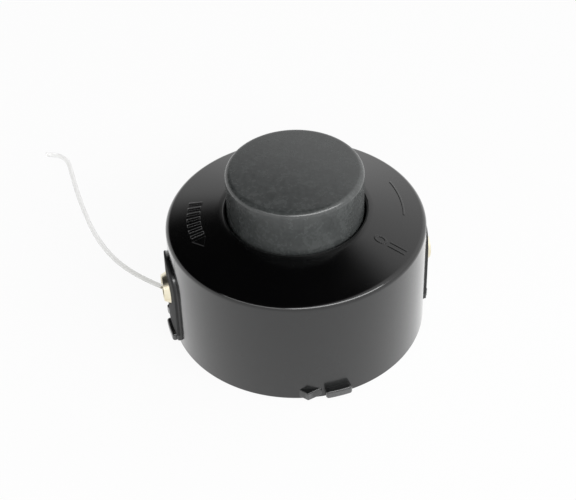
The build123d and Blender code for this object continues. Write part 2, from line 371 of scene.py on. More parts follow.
@dataclass(frozen=True)
class SparkTexture(Finish):
    """Dark grey moulding with the fine matte grain of an eroded mould."""

    colour: Colour = (0.030, 0.0325, 0.0321)
    light: Colour = (0.064, 0.0691, 0.0685)
    roughness: float = 0.2
    uneven: float = 0.06
    specular: float = 0.7
    grain: Pattern = Pattern(0.24, 3.0)
    grain_limits: Point2 = (0.3, 0.7)
    mottle: Pattern = Pattern(1.1, 3.0, (0.3, 0.7))
    rubbed_and_painted_light: Pattern = Pattern(4.5, 3.0, (0.35, 0.7), (1, 1, 0.4))
    tone_shares: Point3 = (0.3, 0.4, 0.3)
    relief_shares: Point2 = (0.85, 0.15)
    relief: Relief = Relief(0.024, 0.6)

    def sockets(self, graph: Graph) -> dict[str, Any]:
        """Mixes grain, mottling and rubbed patches.

        Args:
            graph: Node tree of the material.

        Returns:
            Inputs of the shader.
        """
        grain, mottle, rubbed_and_painted_light = graph.noise(self.grain), graph.noise(self.mottle), graph.noise(self.rubbed_and_painted_light)
        by_grain, by_mottle, by_rubbing = self.tone_shares
        tone = grain.between(*self.grain_limits) * by_grain + mottle * by_mottle + rubbed_and_painted_light * by_rubbing
        fine, coarse = self.relief_shares
        return {
            "Base Color": graph.mix(tone, self.colour, self.light),
            "Roughness": self.roughness + mottle * self.uneven + rubbed_and_painted_light * self.uneven,
            "Specular IOR Level": self.specular,
            "Normal": graph.bump(grain * fine + mottle * coarse, self.relief),
        }


@dataclass(frozen=True)
class PlainMoulding(Finish):
    """Inner mouldings, straight from the tool."""

    colour: Colour = (0.03, 0.03, 0.033)
    light: Colour = (0.045, 0.045, 0.048)
    roughness: float = 0.42
    uneven: float = 0.15
    cloud: Pattern = Pattern(3.0, 3.0)
    relief: Relief = Relief(0.02, 0.4)

    def sockets(self, graph: Graph) -> dict[str, Any]:
        """Clouds the colour and the gloss.

        Args:
            graph: Node tree of the material.

        Returns:
            Inputs of the shader.
        """
        cloud = graph.noise(self.cloud)
        return {
            "Base Color": graph.mix(cloud, self.colour, self.light),
            "Roughness": self.roughness + cloud * self.uneven,
            "Normal": graph.bump(cloud, self.relief),
        }


@dataclass(frozen=True)
class DrawnNylon(Finish):
    """Pale clear monofilament, a little uneven from the die, with painted shade near the outlet where the
    cup shades it.
    """

    colour: Colour = (0.99, 0.99, 0.98)
    shade: Colour = (0.95, 0.95, 0.94)
    # Colour of the painted shade that stands for the cup's shadow on the line near the outlet
    painted_shade: Colour = (0.68, 0.68, 0.66)
    painted_shade_to: float = -14.0
    unshaded_from: float = 24.0
    roughness: float = 0.09
    uneven: float = 0.04
    clear: float = 0.95
    index: float = 1.53
    streak: Pattern = Pattern(1.2, 2.0)
    patch: Pattern = Pattern(9.0, 2.0)
    streak_share: float = 0.3
    patch_share: float = 0.7
    relief: Relief = Relief(0.02, 0.3)

    def sockets(self, graph: Graph) -> dict[str, Any]:
        """Streaks the line and paints shade on it towards the outlet.

        Args:
            graph: Node tree of the material.

        Returns:
            Inputs of the shader.
        """
        streak, patch = graph.noise(self.streak), graph.noise(self.patch)
        tone = streak * self.streak_share + patch * self.patch_share
        # Painted shade: the line darkens towards the outlet, where the cup shades it
        painted_shade = 1.0 - graph.depth().past(self.painted_shade_to, self.unshaded_from)
        return {
            "Base Color": graph.mix(painted_shade, graph.mix(tone, self.colour, self.shade), self.painted_shade),
            "Roughness": self.roughness + streak * self.uneven,
            "Transmission Weight": self.clear,
            "IOR": self.index,
            "Normal": graph.bump(patch, self.relief),
        }


@dataclass(frozen=True)
class PressedMetal(Finish):
    """Sheet or wire metal with fine drawing marks and a dulled patina."""

    colour: Colour
    dull: Colour
    roughness: float
    patina: Pattern = Pattern(1.6, 3.0, (0.35, 0.8))
    marks: Pattern = Pattern(0.18, 2.0)
    patina_roughness: float = 0.15
    mark_roughness: float = 0.06
    relief: Relief = Relief(0.01, 0.4)

    def sockets(self, graph: Graph) -> dict[str, Any]:
        """Dulls the metal in patches and marks it finely.

        Args:
            graph: Node tree of the material.

        Returns:
            Inputs of the shader.
        """
        patina, marks = graph.noise(self.patina), graph.noise(self.marks)
        uneven = patina * self.patina_roughness + marks * self.mark_roughness
        return {
            "Base Color": graph.mix(patina, self.colour, self.dull),
            "Metallic": 1.0,
            "Roughness": self.roughness + uneven,
            "Normal": graph.bump(marks, self.relief),
        }


BRASS = PressedMetal(colour=(0.92, 0.86, 0.68), dull=(0.84, 0.76, 0.56), roughness=0.26)
ZINC = PressedMetal(colour=(0.62, 0.63, 0.65), dull=(0.45, 0.46, 0.48), roughness=0.3)


class Form:
    """A mesh in the making, in millimetres."""

    def __init__(self) -> None:
        """Starts empty."""
        self.bm = bmesh.new()

    @classmethod
    def turned(cls, profile: Sequence[Point2], steps: int, closed: bool = True) -> "Form":
        """Turns a profile round the Z axis.

        Args:
            profile: Points as (radius, height).
            steps: Facets in the full turn.
            closed: Whether the last point joins the first.

        Returns:
            The turned form.
        """
        form = cls()
        verts = [form.bm.verts.new((radius, 0, height)) for radius, height in profile]
        pairs = list(zip(verts, verts[1:])) + ([(verts[-1], verts[0])] if closed else [])
        edges = [form.bm.edges.new(pair) for pair in pairs]
        bmesh.ops.spin(
            form.bm,
            geom=verts + edges,
            cent=(0, 0, 0),
            axis=(0, 0, 1),
            angle=2 * math.pi,
            steps=steps,
            use_merge=True,
        )
        return form.sealed()

    @classmethod
    def swept(cls, section: Sequence[Point2], first: float, last: float, steps: int) -> "Form":
        """Turns a closed section round the Z axis through part of a turn, with closed ends.

        Args:
            section: Points as (radius, height).
            first: Angle of its start, in degrees.
            last: Angle of its end, in degrees.
            steps: Facets along the turn.

        Returns:
            The swept form.
        """
        form = cls()
        verts = [form.bm.verts.new((radius, 0, height)) for radius, height in section]
        edges = [form.bm.edges.new(pair) for pair in zip(verts, verts[1:] + verts[:1])]
        angle = math.radians(last - first)
        bmesh.ops.spin(form.bm, geom=verts + edges, cent=(0, 0, 0), axis=(0, 0, 1), angle=angle, steps=steps)
        return form.capped().moved(Matrix.Rotation(math.radians(first), 4, "Z"))

    @classmethod
    def repeated(
        cls, section: Sequence[Point2], count: int, span: float, first: float = 0.0, steps: int = 6
    ) -> list["Form"]:
        """Sweeps copies of a section at even places round the Z axis.

        Args:
            section: Points as (radius, height).
            count: How many copies.
            span: Angle that each copy covers, in degrees.
            first: Angle of the first copy's middle, in degrees.
            steps: Facets along each copy.

        Returns:
            The copies.
        """
        starts = [first + 360 * k / count - span / 2 for k in range(count)]
        return [cls.swept(section, start, start + span, steps) for start in starts]

    @classmethod
    def prism(cls, outline: Sequence[Point2], low: float, high: float) -> "Form":
        """Extrudes an outline upwards.

        Args:
            outline: Corner points as (x, y).
            low: Height of its lower face.
            high: Height of its upper face.

        Returns:
            The extruded form.
        """
        form = cls()
        form.bm.faces.new([form.bm.verts.new((x, y, low)) for x, y in outline])
        return form.thickened(high - low)

    @classmethod
    def block(cls, size: Point3, centre: Point3) -> "Form":
        """Makes a block.

        Args:
            size: Lengths of its sides.
            centre: Its middle.

        Returns:
            The block.
        """
        form = cls()
        place = Matrix.Translation(centre) @ Matrix.Diagonal((*size, 1))
        bmesh.ops.create_cube(form.bm, size=1, matrix=place)
        return form

    @classmethod
    def rod(cls, radius: float, low: float, high: float, steps: int = 96) -> "Form":
        """Makes a round rod along Z.

        Args:
            radius: Its radius.
            low: Height of its lower end.
            high: Height of its upper end.
            steps: Facets round it.

        Returns:
            The rod.
        """
        form = cls()
        place = Matrix.Translation((0, 0, (low + high) / 2))
        ends = {"radius1": radius, "radius2": radius, "depth": high - low}
        bmesh.ops.create_cone(form.bm, cap_ends=True, segments=steps, matrix=place, **ends)
        return form

    @classmethod
    def copied(cls, node: str) -> "Form":
        """Copies a CAD node's mesh and joins its loose triangles.

        Args:
            node: Name of the CAD node.

        Returns:
            The copy, in millimetres.
        """
        form = cls()
        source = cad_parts[node]
        form.bm.from_mesh(source.data)
        return form.moved(Matrix.Scale(1 / MM, 4) @ source.matrix_world).sealed()

    def thickened(self, depth: float) -> "Form":
        """Extrudes all faces upwards and closes the form.

        Args:
            depth: How far.

        Returns:
            The same form.
        """
        raised = bmesh.ops.extrude_face_region(self.bm, geom=self.bm.faces[:], use_keep_orig=True)
        top = [item for item in raised["geom"] if isinstance(item, bmesh.types.BMVert)]
        bmesh.ops.translate(self.bm, verts=top, vec=(0, 0, depth))
        return self.sealed()

    def capped(self) -> "Form":
        """Closes open ends with faces."""
        bmesh.ops.holes_fill(self.bm, edges=[e for e in self.bm.edges if e.is_boundary], sides=0)
        return self.sealed()

    def sealed(self) -> "Form":
        """Merges doubles and turns all faces outwards.

        Returns:
            The same form.
        """
        bmesh.ops.remove_doubles(self.bm, verts=self.bm.verts, dist=JOIN_DISTANCE)
        bmesh.ops.recalc_face_normals(self.bm, faces=self.bm.faces)
        return self

    def ring(self, radius: float, height: float) -> list[bmesh.types.BMEdge]:
        """Finds the edges of one circle of a turned form.

        Args:
            radius: Radius of the circle.
            height: Height of the circle.

        Returns:
            Its edges.
        """
        level_with = [vert for vert in self.bm.verts if abs(vert.co.z - height) < NEAR]
        on = {vert for vert in level_with if abs(vert.co.xy.length - radius) < NEAR}
        return [edge for edge in self.bm.edges if on.issuperset(edge.verts)]

    def corners(self, angle: float = 40.0, above: float = -math.inf) -> list[bmesh.types.BMEdge]:
        """Finds sharp edges.

        Args:
            angle: Least turn across the edge, in degrees.
            above: Least height of both its ends.

        Returns:
            The edges.
        """
        least = math.radians(angle)
        sharp = [edge for edge in self.bm.edges if edge.is_manifold and edge.calc_face_angle(0) > least]
        return [edge for edge in sharp if all(vert.co.z > above - JOIN_DISTANCE for vert in edge.verts)]

    def rounded(self, edges: Iterable[bmesh.types.BMEdge], width: float, segments: int) -> "Form":
        """Rounds edges.

        Args:
            edges: Edges to round.
            width: Distance from the edge to the start of the round.
            segments: Facets across the round.

        Returns:
            The same form.
        """
        bmesh.ops.bevel(
            self.bm,
            geom=list(edges),
            offset=width,
            offset_type="OFFSET",
            segments=segments,
            profile=0.5,
            affect="EDGES",
            material=-1,
            clamp_overlap=True,
        )
        return self

    def sliced(self, places: Iterable[float]) -> "Form":
        """Adds edge loops where planes across X cut the form.

        Args:
            places: Where along X.

        Returns:
            The same form.
        """
        for place in places:
            geom = self.bm.verts[:] + self.bm.edges[:] + self.bm.faces[:]
            plane = {"plane_co": (place, 0, 0), "plane_no": (1, 0, 0)}
            bmesh.ops.bisect_plane(self.bm, geom=geom, dist=CUT_DISTANCE, **plane)
        return self

    def moved(self, matrix: Matrix) -> "Form":
        """Moves the whole form."""
        bmesh.ops.transform(self.bm, matrix=matrix, verts=self.bm.verts)
        return self

    def spun(self, angle: float) -> "Form":
        """Turns the whole form round the Z axis by an angle in degrees."""
        return self.moved(Matrix.Rotation(math.radians(angle), 4, "Z"))

    def reshaped(self, rule: Callable[[Vector], Vector]) -> "Form":
        """Moves every corner by a rule.

        Args:
            rule: Gives the new place of a corner from its old one.

        Returns:
            The same form.
        """
        for vert in self.bm.verts:
            vert.co = rule(vert.co)
        return self

    def joined(self, *others: "Form") -> "Form":
        """Takes other forms in as separate shells.

        Args:
            others: The forms.

        Returns:
            The same form.
        """
        for other in others:
            shell = other.mesh("shell")
            self.bm.from_mesh(shell)
            bpy.data.meshes.remove(shell)
        return self

    def cut(self, *cutters: "Form") -> "Form":
        """Cuts other forms out of this one.

        Args:
            cutters: The forms to take away.

        Returns:
            The same form.
        """
        base = bpy.data.objects.new("base", self.mesh("base"))
        tools = [bpy.data.objects.new("tool", cutter.mesh("tool")) for cutter in cutters]
        for made in [base, *tools]:
            bpy.context.collection.objects.link(made)
        for tool in tools:
            boolean = base.modifiers.new("cut", "BOOLEAN")
            boolean.operation = "DIFFERENCE"
            boolean.solver = "EXACT"
            boolean.object = tool
        evaluated = base.evaluated_get(bpy.context.evaluated_depsgraph_get())
        result = bpy.data.meshes.new_from_object(evaluated)
        self.bm.clear()
        self.bm.from_mesh(result)
        for mesh in [result, base.data, *(tool.data for tool in tools)]:
            bpy.data.meshes.remove(mesh)
        return self

    def mesh(self, name: str) -> bpy.types.Mesh:
        """Copies the form to a mesh, in the form's own unit.

        Args:
            name: Name of the mesh.

        Returns:
            The mesh.
        """
        made = bpy.data.meshes.new(name)
        self.bm.to_mesh(made)
        return made

    def piece(self, name: str, finish: bpy.types.Material, even: bool = True) -> bpy.types.Object:
        """Ends the form as an object in metres.

        Args:
            name: Name of the object.
            finish: Its material.
            even: Whether large faces stay flat in shading beside their rounded edges.

        Returns:
            The new object, at the origin.
        """
        mesh = self.moved(Matrix.Scale(MM, 4)).mesh(name)
        self.bm.free()
        mesh.materials.append(finish)
        mesh.shade_smooth()
        mesh.set_sharp_from_angle(angle=math.radians(SHARP_ANGLE))
        made = bpy.data.objects.new(name, mesh)
        bpy.context.collection.objects.link(made)
        if even:
            weighted = made.modifiers.new("even_shading", "WEIGHTED_NORMAL")
            weighted.keep_sharp = True
            weighted.weight = EVEN_WEIGHT
        return made


def seat(piece: bpy.types.Object, body: Body, slot: Slot, *nodes: str) -> None:
    """Ties a piece to its body and hides the CAD nodes it stands for.

    Args:
        piece: The finished object.
        body: Body that carries it.
        slot: Slot that its finish belongs to; not used.
        nodes: CAD nodes that it replaces.
    """
    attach(piece, body.value)
    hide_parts(*nodes)
    LOG.info("%s rides on %s in place of %s", piece.name, body.value, ", ".join(nodes))


def level(node: str, end: int) -> float:
    """Lowest (0) or highest (1) point of a CAD node, in millimetres."""
    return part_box(node)[end][2] / MM


def ring_section(inner: float, outer: float, low: float, high: float) -> list[Point2]:
    """Section of a ring from its radii and heights."""
    return [(inner, low), (outer, low), (outer, high), (inner, high)]


@dataclass(frozen=True)
class DogRing:
    """Ratchet dogs that stand in a ring, alike under the cup's top and on the cover."""

    count: int = 8
    span: float = 9.0
    inner: float = 25.2
    outer: float = 33.0


@dataclass
class Outlet:
    """Line outlet: a raised pad with an arched top and a brass eyelet."""

    angle: float
    wall_radius: float
    height: float = 17.5
    half_width: float = 9.0
    proud: float = 1.2
    foot: float = 2.4
    rise: float = 3.3
    edge: float = 0.3
    wall: float = 2.4
    bore: float = 3.2
    barrel: float = 3.7
    flange: float = 5.1
    lip: float = 1.9
    roll: float = 0.9
    seat_radius: float = 5.5
    bore_gap: float = 0.05
    bore_from: float = 30.0
    bore_to: float = 45.0
    spot_reach: float = 5.0
    tail_cut: float = 0.5
    roll_round: float = 0.28
    arch_steps: int = 40
    slices: int = 8

    @property
    def seat_face(self) -> float:
        """Distance of the eyelet's seat from the cup's axis."""
        return math.sqrt((self.wall_radius + self.proud) ** 2 - self.seat_radius**2)

    @property
    def pocket_face(self) -> float:
        """Distance of the pocket behind the eyelet from the cup's axis."""
        return self.seat_face - self.wall

    @property
    def place(self) -> Matrix:
        """Lays a form that is built along Z along the outlet's axis, with its Y up."""
        lean = Matrix(((0, 0, 1, 0), (1, 0, 0, 0), (0, 1, 0, self.height), (0, 0, 0, 1)))
        return Matrix.Rotation(math.radians(self.angle), 4, "Z") @ lean

    def pad(self, radius_at: Callable[[float], float]) -> Form:
        """Makes the raised pad.

        Args:
            radius_at: Outer radius of the cup's wall at a height.

        Returns:
            The pad, in place.
        """
        form = Form()
        foot = self.foot - self.height
        first = form.bm.verts.new((self.half_width, self.rise, 0))
        bmesh.ops.spin(
            form.bm,
            geom=[first],
            cent=(0, self.rise, 0),
            axis=(0, 0, 1),
            angle=math.pi,
            steps=self.arch_steps,
        )
        last = min(form.bm.verts, key=lambda vert: vert.co.x)
        feet = [form.bm.verts.new((side * self.half_width, foot, 0)) for side in (-1, 1)]
        for pair in ((last, feet[0]), feet, (feet[1], first)):
            form.bm.edges.new(pair)
        bmesh.ops.contextual_create(form.bm, geom=form.bm.edges[:])
        form.moved(Matrix.Translation((0, 0, -self.wall))).thickened(self.wall)
        form.rounded(form.corners(above=0), self.edge, segments=4)
        form.sliced(range(-self.slices, self.slices + 1))

        def wrap(place: Vector) -> Vector:
            """Lays the flat pad on the wall's curve."""
            outer = radius_at(self.height + place.y) + self.proud
            return Vector((place.x, place.y, math.sqrt(outer**2 - place.x**2) + place.z))

        spot = Form.rod(self.seat_radius, self.seat_face, self.seat_face + self.spot_reach)
        return form.reshaped(wrap).cut(spot, self._bore()).moved(self.place)

    def _bore(self) -> Form:
        """Makes the hole for the eyelet's barrel, along Z."""
        return Form.rod(self.barrel + self.bore_gap, self.bore_from, self.bore_to)

    def cutters(self) -> list[Form]:
        """Makes the forms that open the wall behind the pad."""
        pocket = Form.rod(self.seat_radius, self.bore_from, self.pocket_face)
        return [self._bore().moved(self.place), pocket.moved(self.place)]

    def eyelet(self) -> Form:
        """Makes the brass eyelet.

        Returns:
            The eyelet with its rolled ends, in place.
        """
        profile = [
            (self.barrel, self.pocket_face - self.roll / 2),
            (self.bore, self.pocket_face + self.roll),
            (self.bore, self.seat_face),
            (self.barrel, self.seat_face + self.lip),
            (self.flange - self.lip / 2, self.seat_face + self.lip),
            (self.flange, self.seat_face),
            (self.barrel, self.seat_face),
            (self.barrel, self.pocket_face),
            (self.flange - self.tail_cut, self.pocket_face - self.roll / 2),
        ]
        form = Form.turned(profile, steps=96)
        for corner in profile[1:5]:
            form.rounded(form.ring(*corner), self.roll_round, segments=4)
        return form.moved(self.place)


@dataclass(frozen=True)
class ConeSigns:
    """Raised signs on the cup's cone.

    Strokes that end in an arrow stand on the left, a ring with two bars and a curved line on the right.
    """

    arrow_height: float = 0.4
    mark_height: float = 0.16
    root: float = 0.6
    edge_share: float = 0.8
    stroke_count: int = 7
    stroke_size: Point2 = (4.2, 1.2)
    stroke_radius: float = 31.2
    stroke_from: float = 170.0
    stroke_pitch: float = 4.6
    tip_width: float = 4.6
    tip_from: float = 201.0
    tip_to: float = 208.0
    index_angle: float = -30.0
    index_radius: float = 28.8
    index_outer: float = 1.7
    index_inner: float = 1.0
    index_stretch: Point2 = (1.25, 0.85)
    bar_size: Point2 = (5.6, 0.55)
    bar_radius: float = 34.4
    bar_side: float = 0.85
    bow_radius: float = 33.0
    bow_width: float = 0.6
    bow_from: float = -4.0
    bow_to: float = 25.0

    def forms(self, cone_at: Callable[[float], float]) -> list[Form]:
        """Makes the signs.

        Args:
            cone_at: Height of the cone at a radius.

        Returns:
            The signs, in place.
        """
        laid = [self._laid(self._arrow(), self.arrow_height, cone_at)]
        return laid + [self._laid(mark, self.mark_height, cone_at) for mark in (self._index(), self._bow())]

    def _arrow(self) -> Form:
        """Makes the flat strokes and the arrow's tip.

        Returns:
            The arrow, from height 0 to 1.
        """
        base, point = math.radians(self.tip_from), math.radians(self.tip_to)
        middle, half = self.stroke_radius, self.tip_width / 2
        places = [(middle - half, base), (middle + half, base), (middle, point)]
        tip = Form.prism([(r * math.cos(a), r * math.sin(a)) for r, a in places], 0, 1)
        for k in range(self.stroke_count):
            stroke = Form.block((*self.stroke_size, 1), (self.stroke_radius, 0, 0.5))
            tip.joined(stroke.spun(self.stroke_from + self.stroke_pitch * k))
        return tip

    def _index(self) -> Form:
        """Makes the flat ring with two bars.

        Returns:
            The index mark, from height 0 to 1.
        """
        ring = Form.rod(self.index_outer, 0, 1, steps=40).cut(Form.rod(self.index_inner, -1, 2, steps=40))
        place = Matrix.Translation((self.index_radius, 0, 0))
        ring.moved(place @ Matrix.Diagonal((*self.index_stretch, 1, 1)))
        sides = (-self.bar_side, self.bar_side)
        ring.joined(*(Form.block((*self.bar_size, 1), (self.bar_radius, side, 0.5)) for side in sides))
        return ring.spun(self.index_angle)

    def _bow(self) -> Form:
        """Makes the flat curved line.

        Returns:
            The line, from height 0 to 1.
        """
        half = self.bow_width / 2
        section = ring_section(self.bow_radius - half, self.bow_radius + half, 0, 1)
        return Form.swept(section, self.bow_from, self.bow_to, steps=24)

    def _laid(self, sign: Form, height: float, cone_at: Callable[[float], float]) -> Form:
        """Lays a flat sign on the cone.

        Args:
            sign: The sign, from height 0 to 1.
            height: How far it stands out of the cone.
            cone_at: Height of the cone at a radius.

        Returns:
            The same sign with a rounded upper edge, in place.
        """

        def drape(place: Vector) -> Vector:
            """Brings the sign to its height over the cone."""
            over = height - self.root * (1 - place.z)
            return Vector((place.x, place.y, cone_at(place.xy.length) + over))

        sign.rounded(sign.corners(angle=30, above=1), self.edge_share * height, segments=4)
        return sign.reshaped(drape)


@dataclass
class Cup:
    """Moulded cup with its outlets, bayonet lugs, detents, raised signs and inner ratchet dogs."""

    rim_radius: float = 40.0
    draft: float = 0.4
    wall_height: float = 37.5
    wall: float = 2.4
    mouth_wall: float = 1.5
    mouth_round: float = 0.3
    crown_rise: float = 4.0
    rim_round: float = 1.9
    lip_width: float = 1.6
    lip_round: float = 0.8
    hole_radius: float = 21.5
    guide_wall: float = 1.6
    guide_depth: float = 5.0
    outlet_angle: float = 191.25
    outlet_height: float = 17.5
    lug_count: int = 4
    lug_angle: float = 285.9
    lug_width: float = 8.5
    lug_proud: float = 2.3
    lug_height: float = 3.2
    lug_foot: float = 0.8
    lug_round: float = 0.9
    detent_angle: float = 272.8
    detent_proud: float = 1.9
    detent_back: float = 2.6
    detent_ramp: float = 4.4
    detent_round: float = 0.5
    lug_slices: int = 3
    ledge: float = 3.4
    dogs: DogRing = DogRing()
    stop_gap: float = 0.1
    signs: ConeSigns = ConeSigns()
    steps: int = 240

    @property
    def lip_radius(self) -> float:
        """Radius where the flat lip round the knob's hole meets the cone."""
        return self.hole_radius + self.lip_width

    @property
    def top(self) -> float:
        """Height of the lip."""
        return self.wall_height + self.crown_rise

    @property
    def cone_angle(self) -> float:
        """Slope of the conical top, in radians."""
        return math.atan2(self.crown_rise, self.rim_radius - self.lip_radius)

    def radius_at(self, height: float) -> float:
        """Outer radius of the wall at a height."""
        return self.rim_radius + self.draft * (1 - height / self.wall_height)

    def cone_at(self, radius: float) -> float:
        """Height of the conical top at a radius."""
        return self.wall_height + math.tan(self.cone_angle) * (self.rim_radius - radius)

    def ceiling_at(self, radius: float) -> float:
        """Height of the top's underside at a radius."""
        return self.cone_at(radius) - self.wall / math.cos(self.cone_angle)

    def outlets(self) -> list[Outlet]:
        """The two opposite outlets."""
        radius = self.radius_at(self.outlet_height)
        return [Outlet(self.outlet_angle + 180 * k, radius, self.outlet_height) for k in range(2)]

    def shell(self) -> Form:
        """Makes the wall and the top.

        Returns:
            The turned cup with rounded edges and open outlets.
        """
        guide = self.hole_radius + self.guide_wall
        inside = self.rim_radius - self.wall
        mouth = self.radius_at(0) - self.mouth_wall
        profile = [
            (self.radius_at(0), 0),
            (self.rim_radius, self.wall_height),
            (self.lip_radius, self.top),
            (self.hole_radius, self.top),
            (self.hole_radius, self.top - self.guide_depth),
            (guide, self.top - self.guide_depth),
            (guide, self.ceiling_at(guide)),
            (inside, self.ceiling_at(inside)),
            (self.radius_at(self.ledge) - self.wall, self.ledge),
            (mouth, self.ledge),
            (mouth, 0),
        ]
        form = Form.turned(profile, self.steps)
        rim = self.rim_round * math.tan(math.pi / 4 - self.cone_angle / 2)
        form.rounded(form.ring(*profile[1]), rim, segments=8)
        form.rounded(form.ring(*profile[2]), self.lip_round, segments=5)
        form.rounded(form.ring(*profile[3]), self.lip_round, segments=6)
        form.rounded(form.ring(*profile[0]), self.mouth_round, segments=3)
        return form.cut(*(cutter for outlet in self.outlets() for cutter in outlet.cutters()))

    def lug(self, angle: float) -> Form:
        """Makes one bayonet lug.

        Args:
            angle: Its place round the mouth, in degrees.

        Returns:
            The lug, in place.
        """
        outside = self.radius_at(self.lug_foot) + self.lug_proud
        depth = self.lug_proud + self.mouth_wall / 2
        centre = (0, -depth / 2, self.lug_foot + self.lug_height / 2)
        form = Form.block((self.lug_width, depth, self.lug_height), centre)
        form.rounded(form.corners(), self.lug_round, segments=5)
        form.sliced(range(-self.lug_slices, self.lug_slices + 1))

        def bend(place: Vector) -> Vector:
            """Bends the straight bar round the mouth.

            Args:
                place: A corner of the straight bar.

            Returns:
                Its place on the bent bar.
            """
            around = math.radians(angle) - place.x / outside
            radius = outside + place.y
            return Vector((radius * math.cos(around), radius * math.sin(around), place.z))

        return form.reshaped(bend).sealed()

    def detent(self, angle: float) -> Form:
        """Makes one detent, a ramp with a steep back.

        Args:
            angle: Place of its crest round the mouth, in degrees.

        Returns:
            The detent, in place.
        """
        wall = self.radius_at(self.lug_foot)
        back = math.radians(angle) - self.detent_back / wall
        ramp = math.radians(angle) + self.detent_ramp / wall
        root = wall - self.mouth_wall / 2
        crest = (wall + self.detent_proud, math.radians(angle))
        places = [(root, back), (wall, back), crest, (wall, ramp), (root, ramp)]
        outline = [(radius * math.cos(a), radius * math.sin(a)) for radius, a in places]
        form = Form.prism(outline, self.lug_foot, self.lug_foot + self.lug_height)
        return form.rounded(form.corners(angle=25), self.detent_round, segments=3)

    def catches(self) -> list[Form]:
        """Makes the ratchet dogs under the top.

        Returns:
            The dogs, in place.
        """
        low = level("bump_knob", 0) + self.stop_gap
        inner, outer = self.dogs.inner, self.dogs.outer
        high = [self.ceiling_at(radius) + self.wall / 2 for radius in (outer, inner)]
        section = [(inner, low), (outer, low), (outer, high[0]), (inner, high[1])]
        return Form.repeated(section, self.dogs.count, self.dogs.span)

    def build(self, plastic: bpy.types.Material, brass: bpy.types.Material) -> None:
        """Builds the cup and its eyelets.

        Args:
            plastic: Finish of the cup.
            brass: Finish of the eyelets.
        """
        form = self.shell().joined(*(outlet.pad(self.radius_at) for outlet in self.outlets()))
        for k in range(self.lug_count):
            turn = 360 * k / self.lug_count
            form.joined(self.lug(self.lug_angle + turn), self.detent(self.detent_angle + turn))
        form.joined(*self.catches(), *self.signs.forms(self.cone_at))
        seat(form.piece("cup", plastic), Body.HOUSING, Slot.HOUSING, "spool_housing")
        for outlet, side in zip(self.outlets(), ("left", "right")):
            eyelet = outlet.eyelet().piece(f"eyelet_{side}", brass)
            seat(eyelet, Body.HOUSING, Slot.EYELET, f"outlet_eyelet_{side}")


@dataclass
class BottomCover:
    """Cover in the cup's mouth, with ribs and the shaft's hub below, and post and dogs above."""

    radius: float = 38.75
    recess: float = 1.2
    plate: float = 2.2
    hub_radius: float = 9.6
    hub_foot: float = 0.4
    shaft_radius: float = 4.0
    shaft_depth: float = 26.0
    post_radius: float = 8.1
    post_chamfer: float = 1.0
    rib_count: int = 6
    rib_thickness: float = 1.4
    dogs: DogRing = DogRing()
    dog_height: float = 2.6
    tab_count: int = 4
    tab_angle: float = 45.0
    tab_span: float = 8.84
    tab_reach: float = 0.75
    tab_height: float = 1.2
    edge: float = 0.25
    steps: int = 180

    def build(self, plastic: bpy.types.Material) -> None:
        """Builds the cover.

        Args:
            plastic: Its finish.
        """
        top = self.recess + self.plate
        post = level("bottom_cover", 1)
        middle = self.recess + self.plate / 2
        profile = [
            (0, self.hub_foot + self.shaft_depth),
            (self.shaft_radius, self.hub_foot + self.shaft_depth),
            (self.shaft_radius, self.hub_foot),
            (self.hub_radius, self.hub_foot),
            (self.hub_radius, self.recess),
            (self.radius, self.recess),
            (self.radius, top),
            (self.post_radius, top),
            (self.post_radius, post - self.post_chamfer),
            (self.post_radius - self.post_chamfer, post),
            (0, post),
        ]
        form = Form.turned(profile, self.steps, closed=False)
        for corner in (profile[2], profile[3], profile[5]):
            form.rounded(form.ring(*corner), self.edge, segments=3)
        length = self.radius - self.hub_radius
        reach = (self.hub_radius + self.radius - self.rib_thickness) / 2
        for k in range(self.rib_count):
            size = (length, self.rib_thickness, middle - self.hub_foot)
            rib = Form.block(size, (reach, 0, (middle + self.hub_foot) / 2))
            rib.rounded(rib.corners(), self.edge, segments=3)
            form.joined(rib.spun(360 * k / self.rib_count))
        catch = ring_section(self.dogs.inner, self.dogs.outer, middle, top + self.dog_height)
        form.joined(*Form.repeated(catch, self.dogs.count, self.dogs.span))
        low = middle - self.tab_height / 2
        inner, outer = self.radius - self.plate, self.radius + self.tab_reach
        tab = ring_section(inner, outer, low, low + self.tab_height)
        form.joined(*Form.repeated(tab, self.tab_count, self.tab_span, self.tab_angle))
        seat(form.piece("bottom_plate", plastic), Body.HOUSING, Slot.HOUSING, "bottom_cover")


@dataclass
class Knob:
    """Hollow press knob with a slightly domed, grained top."""

    radius: float = 20.9
    wall: float = 2.2
    crown: float = 0.7
    edge_round: float = 1.7
    nib_count: int = 4
    nib_span: float = 16.0
    nib_reach: float = 0.7
    nib_over_foot: float = 3.0
    nib_height: float = 1.6
    dome_rings: int = 8
    steps: int = 200

    def build(self, plastic: bpy.types.Material) -> None:
        """Builds the knob.

        Args:
            plastic: Its finish.
        """
        foot, top = level("bump_knob", 0), level("bump_knob", 1)
        edge = top - self.crown
        bore = self.radius - self.wall
        ball = (self.radius**2 + self.crown**2) / (2 * self.crown)
        rings = [self.radius * k / self.dome_rings for k in range(1, self.dome_rings)]
        dome = [(r, top - ball + math.sqrt(ball**2 - r**2)) for r in rings]
        profile = [(0, top), *dome, (self.radius, edge), (self.radius, foot), (bore, foot)]
        profile += [(bore, edge - self.wall), (0, edge - self.wall)]
        form = Form.turned(profile, self.steps, closed=False)
        form.rounded(form.ring(self.radius, edge), self.edge_round, segments=10)
        low = foot + self.nib_over_foot - self.nib_height / 2
        inner, outer = bore - self.nib_reach, bore + self.wall / 2
        nib = ring_section(inner, outer, low, low + self.nib_height)
        form.joined(*Form.repeated(nib, self.nib_count, self.nib_span))
        seat(form.piece("press_knob", plastic), Body.REEL, Slot.KNOB, "bump_knob")


